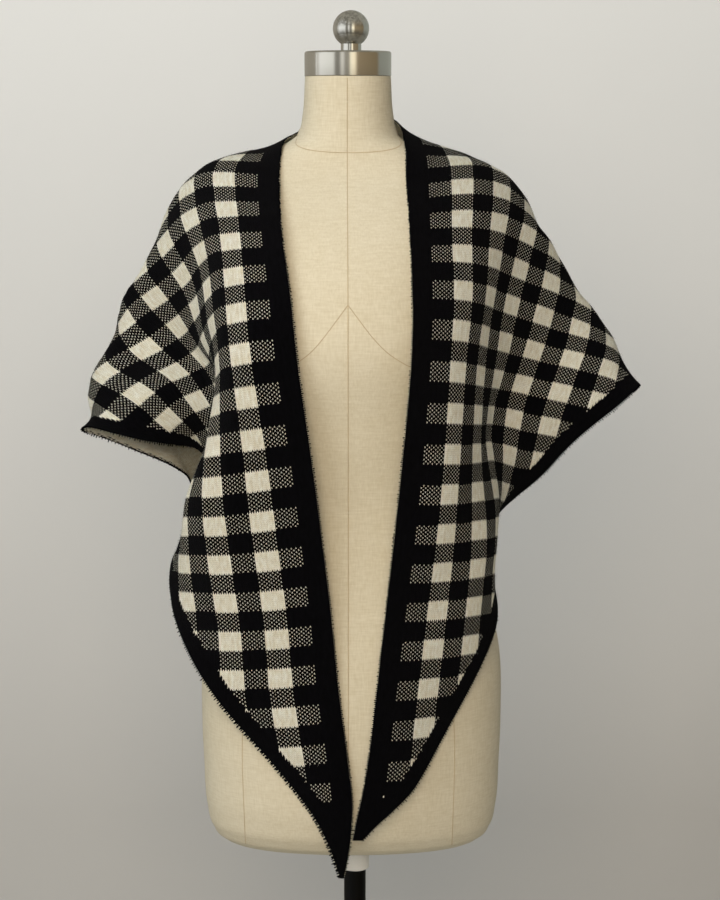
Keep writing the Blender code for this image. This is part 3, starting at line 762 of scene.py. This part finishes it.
def worn_place(along, depth):
    """Where a place of the flat cloth is, read smoothly from the sections."""
    share = np.clip(depth / np.maximum(hem_depth(along), 1e-6), 0, 1)
    knots = np.array([row[0] for row in SECTIONS]) * MM
    columns = []
    for k, column_share in enumerate(SHARES):
        places = np.array([row[1 + k] for row in SECTIONS]) * MM
        places[:, 2] -= corner_rise(knots, column_share)
        columns.append(spline(knots, places, along))
    columns = np.array(columns)
    points = np.array([spline(SHARES, columns[:, i], share[i:i + 1])[0] for i in range(len(along))])
    points[:, 2] += corner_rise(along, share)
    return points


print("sections:", len(SECTIONS))

# %% [markdown]
# ## Relaxing the knit
# So the cloth is settled. Blender's cloth simulation could do it, but its frames have to be played,
# and a loose shawl can slide on the form meanwhile. This small solver takes a few seconds. A lattice
# of points carries the cloth's weight, its links keep their knitted lengths, bending costs a little,
# the form pushes it out, and soft pulls hold it to the sections it hangs in.

# %% Lattice and links
CELLS = 46
STEP_ALONG = HALF_EDGE / CELLS
STEP_DEPTH = DEPTH / CELLS
number = {}
for i in range(-CELLS, CELLS + 1):
    for j in range(CELLS - abs(i) + 1):
        number[(i, j)] = len(number)
nodes_ij = np.array(list(number))
flat = nodes_ij * (STEP_ALONG, STEP_DEPTH)


def links(di, dj):
    """Pairs of nodes that are (di, dj) apart, in two sets that share no node."""
    pairs = [(k, number[(i + di, j + dj)], (i if di else j) % 2) for (i, j), k in number.items()
             if (i + di, j + dj) in number]
    pairs = np.array(pairs)
    return [pairs[pairs[:, 2] == turn][:, :2] for turn in (0, 1)]


def bends(di, dj):
    """Three nodes in a line, in three sets that share no node."""
    threes = [(number[(i - di, j - dj)], k, number[(i + di, j + dj)], (i if di else j) % 3)
              for (i, j), k in number.items() if (i - di, j - dj) in number and (i + di, j + dj) in number]
    threes = np.array(threes)
    return [threes[threes[:, 3] == turn][:, :3] for turn in (0, 1, 2)]


STRETCH_GIVE = 2e-6          # knit hardly stretches along its yarns,
SHEAR_GIVE = 2e-4            # gives more on the slant
BEND_GIVE = 2.5e-5           # and bends easily
stretch_links = []
for di, dj, give in ((1, 0, STRETCH_GIVE), (0, 1, STRETCH_GIVE), (1, 1, SHEAR_GIVE), (1, -1, SHEAR_GIVE)):
    length = math.hypot(di * STEP_ALONG, dj * STEP_DEPTH)
    stretch_links += [(pairs, length, give) for pairs in links(di, dj)]
bend_links = [three for d in ((1, 0), (0, 1)) for three in bends(*d)]
print("lattice:", len(flat), "nodes,", sum(len(p) for p, _, _ in stretch_links), "links")

# %% [markdown]
# Each step lets the cloth fall a little, puts its links right one set after another, pulls it towards
# its section and pushes it out of the form. What is left of the movement becomes its speed. The blunt
# end has no section beyond it, so the few nodes there hang freely.

# %% Relax
FRAMES = 120
SUBSTEPS = 4
TIME_STEP = 1 / 60 / SUBSTEPS
GRAVITY = 9.81
PULL = 0.15                  # how much of its way to the section a node is pulled in a substep
KEPT_SPEED = 0.97
CLEARANCE = 3.4 * MM         # from the form to the middle of the cloth
target = worn_place(np.clip(flat[:, 0], -HALF_EDGE, BLUNT_END), flat[:, 1])
beyond = flat[:, 0] > BLUNT_END - 1e-9
place = clear_of_form(target, CLEARANCE)
velocity = np.zeros_like(place)
pull = np.where(beyond, 0.0, PULL)[:, None]
for _ in range(FRAMES * SUBSTEPS):
    before = place.copy()
    velocity[:, 2] -= GRAVITY * TIME_STEP
    place += velocity * TIME_STEP
    for pairs, length, give in stretch_links:
        # Two nodes share each correction, so each moves by half of it, less what the link gives.
        a, b = pairs[:, 0], pairs[:, 1]
        gap = place[b] - place[a]
        now = np.sqrt((gap ** 2).sum(1))
        move = gap * ((now - length) / (2 + give / TIME_STEP ** 2) / now)[:, None]
        place[a] += move
        place[b] -= move
    for three in bend_links:
        # The middle node moves twice as far as its neighbours, and 1 + 4 + 1 shares it fairly.
        a, b, c = three.T
        bend = (place[a] - 2 * place[b] + place[c]) / (6 + BEND_GIVE / TIME_STEP ** 2)
        place[a] -= bend
        place[b] += 2 * bend
        place[c] -= bend
    place += pull * (target - place)
    place = clear_of_form(place, CLEARANCE)
    velocity = (place - before) / TIME_STEP * KEPT_SPEED
moved = np.linalg.norm(place - target, axis=1)[~beyond] / MM
print("relaxed: mean move", round(float(moved.mean()), 1), "mm, most", round(float(moved.max()), 1))

# %% [markdown]
# ## From the lattice to fine cloth
# The lattice is coarse, 22 by 14 mm from node to node. A subdivision modifier would round it off, but
# then no one could ask where a stitch is. So the lattice is read by a smooth curve in both directions.
# Places outside the triangle are filled in by running the cloth on straight, so that the hem reads as
# smoothly as the middle.

# %% Smooth reading of the lattice
PAD = 3
grid = np.full((2 * CELLS + 1 + 2 * PAD, CELLS + 1 + 2 * PAD, 3), np.nan)
grid[nodes_ij[:, 0] + CELLS + PAD, nodes_ij[:, 1] + PAD] = place
for _ in range(2 * PAD + 2):
    known = ~np.isnan(grid[..., 0])
    total = np.zeros_like(grid)
    count = np.zeros(grid.shape[:2])
    for axis, way in ((0, 1), (0, -1), (1, 1), (1, -1)):
        one = np.roll(grid, way, axis)
        two = np.roll(grid, 2 * way, axis)
        guess = 2 * one - two
        good = ~np.isnan(guess[..., 0]) & ~known
        total[good] += guess[good]
        count[good] += 1
    filled = count > 0
    grid[filled] = total[filled] / count[filled][:, None]
grid = np.nan_to_num(grid)
print("grid:", grid.shape[0], "by", grid.shape[1])


def weights(f):
    """Catmull-Rom weights of four neighbours at a fraction f between the middle two."""
    return np.stack([-0.5 * f + f ** 2 - 0.5 * f ** 3, 1 - 2.5 * f ** 2 + 1.5 * f ** 3,
                     0.5 * f + 2 * f ** 2 - 1.5 * f ** 3, -0.5 * f ** 2 + 0.5 * f ** 3])


def cloth_place(along, depth):
    """The middle of the cloth at places on the flat shawl."""
    u = along / STEP_ALONG + CELLS + PAD
    v = depth / STEP_DEPTH + PAD
    i, j = np.floor(u).astype(int), np.floor(v).astype(int)
    across, down = weights(u - i), weights(v - j)
    result = np.zeros((len(along), 3))
    for a in range(4):
        for b in range(4):
            result += (across[a] * down[b])[:, None] * grid[i + a - 1, j + b - 1]
    return result


def cloth_frame(along, depth):
    """Places, outward normals and the directions along and down the cloth."""
    step = 1.5 * MM
    middle = cloth_place(along, depth)
    along_way = cloth_place(along + step, depth) - cloth_place(along - step, depth)
    down_way = cloth_place(along, depth + step) - cloth_place(along, depth - step)
    normal = np.cross(along_way, down_way)
    for vector in (normal, along_way, down_way):
        vector /= np.linalg.norm(vector, axis=1)[:, None]
    return middle, normal, along_way, down_way


# %% [markdown]
# The visible cloth is one thin wall with a face, a reverse and a rim. Its map, "flat", holds each
# corner's place on the flat shawl in metres, and the knit is drawn on that.

# %% The shawl's wall
STATIONS = 300
ACROSS = 84
RIM_ANGLE = math.radians(60)       # folds stay smooth, and only the rim is a sharp edge
stations = np.linspace(-RIGHT_END, BLUNT_END, STATIONS + 1)
share = np.linspace(0, 1, ACROSS + 1)
flat_along = np.repeat(stations, ACROSS + 1)
flat_depth = (hem_depth(stations)[:, None] * share).ravel()
middle, normal, _, _ = cloth_frame(flat_along, flat_depth)
outer = middle + normal * WALL / 2
inner = middle - normal * WALL / 2
one_side = len(outer)
width = ACROSS + 1
faces = []
for r in range(STATIONS):
    for c in range(ACROSS):
        a = r * width + c
        faces.append((a, a + width, a + width + 1, a + 1))
back_start = len(faces)
faces += [tuple(one_side + i for i in reversed(face)) for face in faces]
rim_start = len(faces)
for r in range(STATIONS):
    a, b = r * width, (r + 1) * width
    faces.append((b, a, one_side + a, one_side + b))
    a, b = a + ACROSS, b + ACROSS
    faces.append((a, b, one_side + b, one_side + a))
for c in range(ACROSS):
    a, b = c, c + 1
    faces.append((a, b, one_side + b, one_side + a))
    a, b = a + STATIONS * width, b + STATIONS * width
    faces.append((b, a, one_side + a, one_side + b))
shawl = mesh_object("shawl", np.concatenate([outer, inner]), faces, [knit_front, knit_back], smooth=False)
for polygon in shawl.data.polygons:
    polygon.material_index = int(back_start <= polygon.index < rim_start)
    polygon.use_smooth = True
layer = shawl.data.uv_layers.new(name="flat")
corner = np.array([loop.vertex_index for loop in shawl.data.loops]) % one_side
uv = np.stack([flat_along[corner], flat_depth[corner]], axis=1)
layer.data.foreach_set("uv", uv.ravel())
shawl.data.set_sharp_from_angle(angle=RIM_ANGLE)
print("shawl:", len(faces), "faces")
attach(shawl, "root")
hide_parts("panel_back", "panel_shoulder_left", "panel_shoulder_right", "panel_front_left",
            "panel_front_right", "edge_band_neck", "edge_band_left", "edge_band_right",
            "hem_band_left", "hem_band_right")

# %% [markdown]
# ## Stitches along the edges
# The long edge is a row of small beads, one to a course, with a little of the cream side between
# them. Along the hems each course ends in a tooth, and the teeth are longest on the wearer's right
# front, towards the tip. The knit's map can't stand out past the edge, so these are real shapes:
# small balls, stretched along the cloth.

# %% A stretched ball
ball = bmesh.new()
bmesh.ops.create_icosphere(ball, subdivisions=1, radius=1.0)
BALL_POINTS = np.array([tuple(vertex.co) for vertex in ball.verts])
BALL_FACES = np.array([[vertex.index for vertex in face.verts] for face in ball.faces])
ball.free()


def beads(middles, axes, radii):
    """Points and faces of stretched balls. Each has three axes and a radius along each of them."""
    scaled = [BALL_POINTS[None, :, k, None] * axes[k][:, None] * radii[k] for k in range(3)]
    points = middles[:, None] + sum(scaled)
    faces = BALL_FACES[None] + (np.arange(len(middles)) * len(BALL_POINTS))[:, None, None]
    return points.reshape(-1, 3), faces.reshape(-1, 3)


def unit(vectors):
    return vectors / np.linalg.norm(vectors, axis=1)[:, None]


print("ball:", len(BALL_FACES), "triangles")

# %% [markdown]
# Every other stitch at a knitted edge stands out farther than its neighbours, and none stands
# exactly where it should.

# %% Beads and teeth
BLACK_SIDE, CREAM_SIDE = 0, 1
STANDS_OUT = 0.8 * MM                               # every other stitch, by this much,
UNEVEN = 0.35 * MM                                  # give or take
EDGE_BEAD = (0.95 * MM, 1.6 * MM, 1.25 * MM)        # half its size along, down and through the cloth
CREAM_BEAD = (0.6 * MM, 0.7 * MM, 0.6 * MM)
TOOTH = 1.4 * MM                                    # half its length
COMB_START = 0.70                                   # from here to the right tip the teeth get longer,
COMB_RISE = 0.25                                    # over this much of the edge,
COMB_SHARE = 0.6                                    # by up to this share
courses = np.arange(-RIGHT_END + MM, BLUNT_END, COURSE)
on_edge = np.zeros(len(courses))
groups = []
middle, normal, along_way, down_way = cloth_frame(courses, on_edge)
far = (np.arange(len(courses)) % 2)[:, None] * STANDS_OUT + rng.normal(0, UNEVEN, (len(courses), 1))
groups.append((BLACK_SIDE, beads(middle - down_way * far, (along_way, down_way, normal), EDGE_BEAD)))
middle, normal, along_way, down_way = cloth_frame(courses + COURSE / 2, on_edge)
middle -= normal * 0.9 * MM + down_way * 0.4 * MM
groups.append((CREAM_SIDE, beads(middle, (along_way, down_way, normal), CREAM_BEAD)))
middle, normal, along_way, down_way = cloth_frame(courses, hem_depth(courses))
outward = unit(down_way * 0.8 + along_way * np.sign(courses)[:, None] * 0.6)
comb = COMB_SHARE * np.clip((-courses - COMB_START) / COMB_RISE, 0, 1)[:, None]
length = TOOTH + comb * MM + far * (1 + comb)
groups.append((BLACK_SIDE, beads(middle + outward * length / 2,
                                 (outward * length, unit(np.cross(outward, normal)), normal),
                                 (1.0, 0.8 * MM, 1.2 * MM))))
print("beads and teeth:", sum(len(bead_faces) for _, (_, bead_faces) in groups), "triangles")

# %% [markdown]
# Near the longer front's tip the ends are coarser: a comb of black teeth with cream between them, and
# a tuft of cream ends at the tip itself. One cream end shows on the face near the other tip.

# %% Comb, tuft and loose end
COMB_PITCH = 3.4 * MM
COMB_END = 0.82
COMB_ROWS = (
    # colour, shift along the hem, half length, half thickness
    (BLACK_SIDE, 0.0, 3.0 * MM, 1.0 * MM),
    (CREAM_SIDE, COMB_PITCH / 2, 2.0 * MM, 0.8 * MM),
)
TUFT_ENDS = 9
TUFT_END = (2.6 * MM, 0.5 * MM, 0.5 * MM)
LOOSE_END = (1.4 * MM, 0.9 * MM, 0.4 * MM)
LOOSE_END_PLACE = (0.945, 0.0225)
teeth = np.arange(2 * MM - RIGHT_END, -COMB_END, COMB_PITCH)
for colour, shift, reach, thick in COMB_ROWS:
    middle, normal, along_way, down_way = cloth_frame(teeth + shift, hem_depth(teeth + shift))
    outward = unit(down_way * 0.9 - along_way * 0.45)
    middle += outward * 0.4 * reach - normal * shift / 4
    groups.append((colour, beads(middle, (outward, unit(np.cross(outward, normal)), normal),
                                 (reach, thick, thick))))
middle, normal, along_way, down_way = cloth_frame(*np.array(LOOSE_END_PLACE)[:, None])
groups.append((CREAM_SIDE, beads(middle + normal * WALL / 2, (along_way, down_way, normal), LOOSE_END)))
tuft = np.full(TUFT_ENDS, 3 * MM - RIGHT_END)
middle, normal, along_way, down_way = cloth_frame(tuft, hem_depth(tuft) * np.linspace(0.4, 1, TUFT_ENDS))
hang = unit(-along_way + rng.normal(0, 0.35, (TUFT_ENDS, 3)))
groups.append((CREAM_SIDE, beads(middle + hang * 1.5 * MM, (hang, unit(np.cross(hang, normal)), normal),
                                 TUFT_END)))
edge_points, edge_faces, edge_colours = [], [], []
for colour, (bead_points, bead_faces) in groups:
    edge_faces.append(bead_faces + sum(len(block) for block in edge_points))
    edge_points.append(bead_points)
    edge_colours += [colour] * len(bead_faces)
edge_stitches = mesh_object("edge_stitches", np.concatenate(edge_points), np.concatenate(edge_faces),
                            [black_yarn, cream_yarn], smooth=False)
edge_stitches.data.polygons.foreach_set("material_index", edge_colours)
edge_stitches.data.shade_smooth()
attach(edge_stitches, "root")
print("edge stitches:", len(edge_colours), "triangles")

# %% [markdown]
# ## Fine hairs
# Fine hairs stand out of the wool and soften its outline. Each is a thin blade with a bend in it, and
# takes the colour of the stitch that it grows from, because it shares that stitch's place on the map.

# %% Fine hairs
HAIRS = 34000
HAIR_LENGTHS = (0.9, 2.4)     # millimetres in each of its two parts
HAIR_HALF_WIDTH = 0.05 * MM
HAIR_LEAN = 0.8
HAIR_BEND = 0.6
HAIR_DROOP = (0, 0, -0.3)
root_along = rng.uniform(-RIGHT_END, BLUNT_END, HAIRS)
root_depth = rng.uniform(0, 1, HAIRS) * hem_depth(root_along)
middle, normal, along_way, down_way = cloth_frame(root_along, root_depth)
lean = rng.normal(0, 1, (HAIRS, 2)) * HAIR_LEAN
first = unit(normal + along_way * lean[:, :1] + down_way * lean[:, 1:])
second = unit(first + along_way * rng.normal(0, HAIR_BEND, (HAIRS, 1)) + HAIR_DROOP)
length = rng.uniform(*HAIR_LENGTHS, (HAIRS, 1)) * MM
blade = unit(np.cross(first, rng.normal(0, 1, (HAIRS, 3)))) * HAIR_HALF_WIDTH
root = middle + normal * WALL / 2
knee = root + first * length
tip = knee + second * length
hair_points = np.stack([root - blade, root + blade, knee + blade * 0.8, knee - blade * 0.8, tip], axis=1)
start = np.arange(HAIRS)[:, None] * 5
hair_faces = [*map(tuple, start + (0, 1, 2, 3)), *map(tuple, start + (3, 2, 4))]
hairs = mesh_object("wool_hairs", hair_points.reshape(-1, 3), hair_faces, [knit_front], smooth=False)
layer = hairs.data.uv_layers.new(name="flat")
grown_from = np.array([loop.vertex_index for loop in hairs.data.loops]) // 5
layer.data.foreach_set("uv", np.stack([root_along[grown_from], root_depth[grown_from]], axis=1).ravel())
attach(hairs, "root")
print("hairs:", HAIRS)

# %% [markdown]
# ## Floor and backdrop
# The room is a pale painted wall and floor. To the camera the wall is a little paler towards the top,
# as a wall near a window is, and this glow lights nothing else.

# %% Floor and backdrop
ROOM_REACH = 6
WALL_Y = 1.1
WALL_HEIGHT = 5
GLOW = 0.29
GLOW_HEIGHTS = (0.3, 1.7)    # where it starts and where it is strongest


def paint_material():
    made, node, shader = new_material("pale paint")
    place = node("TexCoord", output="Object")
    patches = node("TexNoise", {"Vector": place, "Scale": 3.0, "Detail": 3.0})
    height = node("SeparateXYZ", place, output=2)
    rise = node("MapRange", {0: height, 1: GLOW_HEIGHTS[0], 2: GLOW_HEIGHTS[1]})
    seen = node("LightPath", output="Is Camera Ray")
    tones = {0: patches, 6: linear("cbcac6"), 7: linear("cfcec9")}
    fill(shader, {
        "Base Color": node("Mix", tones, **MIX_COLOURS), "Roughness": 0.9,
        "Emission Color": linear("f6f8f4"),
        "Emission Strength": node("MULTIPLY", node("MULTIPLY", rise, GLOW), seen)})
    return made


paint = paint_material()
near_left, near_right = (-ROOM_REACH, -ROOM_REACH, 0), (ROOM_REACH, -ROOM_REACH, 0)
foot_left, foot_right = (-ROOM_REACH, WALL_Y, 0), (ROOM_REACH, WALL_Y, 0)
top_left, top_right = (-ROOM_REACH, WALL_Y, WALL_HEIGHT), (ROOM_REACH, WALL_Y, WALL_HEIGHT)
floor = mesh_object("floor", [near_left, near_right, foot_right, foot_left], [(0, 1, 2, 3)], [paint])
backdrop = mesh_object("backdrop", [foot_left, foot_right, top_right, top_left], [(0, 1, 2, 3)], [paint])
print("backdrop:", WALL_Y, "m behind the form")

# %% [markdown]
# ## Light
# A high window at the wearer's right gives the soft shadows. A warmer light in front and a weak one
# low down keep the folds open. Mirrors don't see any of them: the steel has its own room, below.

# %% Light
SOFTBOXES = (
    # name, place, what it points at, size, watts, colour
    ("high window", (-1.4, -1.4, 2.9), (0, 0, 1.2), (1.8, 1.8), 36, "f7fbff"),
    ("front", (-0.1, -2.2, 1.65), (0, 0, 1.1), (0.8, 0.8), 26, "ffeeda"),
    ("low fill", (-1.6, -2.0, 0.6), (0, 0, 1.2), (1.2, 1.2), 4, "eef5ff"),
)
unmirrored = [floor, backdrop]
for name, place_at, towards, size, power, colour in SOFTBOXES:
    light = bpy.data.lights.new(name, "AREA")
    light.shape = "RECTANGLE"
    light.size, light.size_y = size
    light.energy = power
    light.color = linear(colour)[:3]
    softbox = bpy.data.objects.new(name, light)
    softbox.location = place_at
    x, y, z = np.subtract(towards, place_at)
    softbox.rotation_euler = (math.atan2(math.hypot(x, y), -z), 0, math.atan2(x, -y) + math.pi)
    bpy.context.scene.collection.objects.link(softbox)
    unmirrored.append(softbox)
for item in unmirrored:
    item.visible_glossy = False
print("lights:", len(SOFTBOXES))

# %% [markdown]
# The world lights everything evenly. Only mirror-like rays see a room in it: broad soft bands of
# pale and brown round the horizon, with dark patches above and below them, which the steel needs to
# look like steel.

# %% World
WORLD_STRENGTH = 0.31
MIRROR_STRENGTH = 1.5
ROOM_BANDS = (
    # degrees from the front, colour
    (-180, "8a857a"),
    (-95, "8f8a7e"),
    (-92, "f4f4f0"),
    (-88, "a5a39c"),
    (-80, "e6e6e2"),
    (-38, "dcdcd6"),
    (-33, "7d7a72"),
    (-22, "77746c"),
    (-17, "d6d4cc"),
    (-12, "d6d4cc"),
    (-7, "8a867c"),
    (4, "8c887e"),
    (7, "fff6dc"),
    (19, "fff0d0"),
    (25, "897a62"),
    (85, "74674f"),
    (92, "82847c"),
    (180, "8c8e84"),
)
BELOW, ABOVE, PATCHES = linear("5c574c"), linear("8c887c"), linear("2e2b26")
PATCH_STRENGTH = 0.45
world = bpy.data.worlds.new("room light")
bpy.context.scene.world = world
world.use_nodes = True
node = functools.partial(add_node, world.node_tree)
way = node("TexCoord", output="Generated")
x, y, z = (node("SeparateXYZ", way, output=k) for k in range(3))
turn = node("MULTIPLY_ADD", node("ARCTAN2", x, node("MULTIPLY", y, -1.0)), 1 / (2 * math.pi), 0.5)
room = node("ValToRGB", turn)
stops = room.node.color_ramp.elements
for k, (degrees, colour) in enumerate(ROOM_BANDS):
    at = (degrees + 180) / 360
    stop = stops[k] if k < 2 else stops.new(at)
    stop.position = at
    stop.color = linear(colour)
up_to_level = node("MapRange", {0: z, 1: -0.6, 2: 0.0})
room = node("Mix", {0: up_to_level, 6: BELOW, 7: room}, **MIX_COLOURS)
far_above = node("MapRange", {0: z, 1: 0.2, 2: 0.8})
room = node("Mix", {0: far_above, 6: room, 7: ABOVE}, **MIX_COLOURS)
patches = node("GREATER_THAN", node("TexNoise", {"Scale": 3.0, "Detail": 3.0, "Distortion": 1.5}), 0.5)
off_level = node("MapRange", {0: node("ABSOLUTE", z), 1: 0.12, 2: 0.4})
patches = node("MULTIPLY", node("MULTIPLY", off_level, patches), PATCH_STRENGTH)
room = node("Mix", {0: patches, 6: room, 7: PATCHES}, **MIX_COLOURS)
mirrored = node("LightPath", output="Is Glossy Ray")
fill(world.node_tree.nodes["Background"], {
    "Color": node("Mix", {0: mirrored, 6: linear("f6f5f2"), 7: room}, **MIX_COLOURS),
    "Strength": node("MULTIPLY_ADD", mirrored, MIRROR_STRENGTH - WORLD_STRENGTH, WORLD_STRENGTH)})
print("world:", len(ROOM_BANDS), "bands round the mirrored room")

# %% [markdown]
# ## Camera
# A long lens from some way off keeps the form in its true proportions. It stands level with the neck
# and looks a little down, so the whole shawl is in view.

# %% Camera
CAMERA_PLACE = (0.010, -2.60, 1.44)
TILT_DOWN = 8.165            # degrees
LENS = 115                   # millimetres
SENSOR_WIDTH = 36
camera_data = bpy.data.cameras.new("camera")
camera_data.sensor_fit = "HORIZONTAL"
camera_data.sensor_width = SENSOR_WIDTH
camera_data.lens = LENS
camera = bpy.data.objects.new("camera", camera_data)
camera.location = CAMERA_PLACE
camera.rotation_euler = (math.radians(90 - TILT_DOWN), 0, 0)
bpy.context.scene.collection.objects.link(camera)
bpy.context.scene.camera = camera
bpy.context.scene.view_settings.view_transform = "Standard"
print("camera:", LENS, "mm lens")
